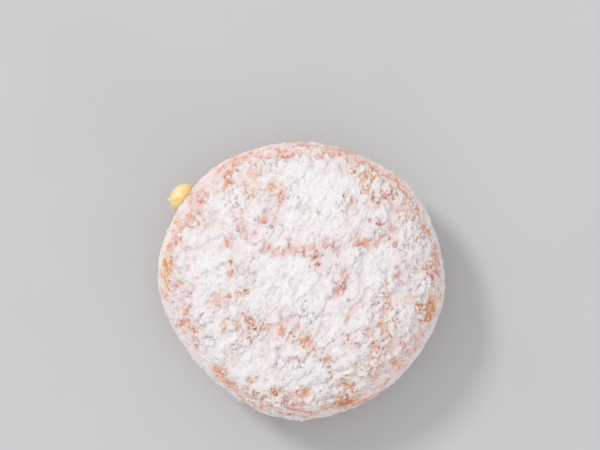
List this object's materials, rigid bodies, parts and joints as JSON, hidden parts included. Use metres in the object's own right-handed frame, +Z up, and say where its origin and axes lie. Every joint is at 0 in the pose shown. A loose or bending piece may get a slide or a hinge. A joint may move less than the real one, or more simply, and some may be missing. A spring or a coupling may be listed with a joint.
{
  "type": "cream-filled doughnut",
  "caption": "Round fried doughnut with no hole through it, coated in white sugar, with a small peaked nub of pale yellow cream at the filling hole in its side.",
  "frame": {"origin": "middle of the flat spot that the doughnut rests on", "axes": "+Z up through the crown; -Y points out of the filling hole, where the cream shows"},
  "size_m": [0.0884, 0.0952, 0.0389],
  "materials": {
    "dough": "soft fried crust, golden tan and paler round the waist, under a thick uneven coat of fine sugar",
    "sugar": "fine white sugar, clumped and smeared, matt, with bare patches that show the crust",
    "cream": "smooth pale yellow pastry cream with a soft sheen"
  },
  "bodies": {
    "root": {"dough": "dough", "cream": "cream"}
  },
  "joints": []
}
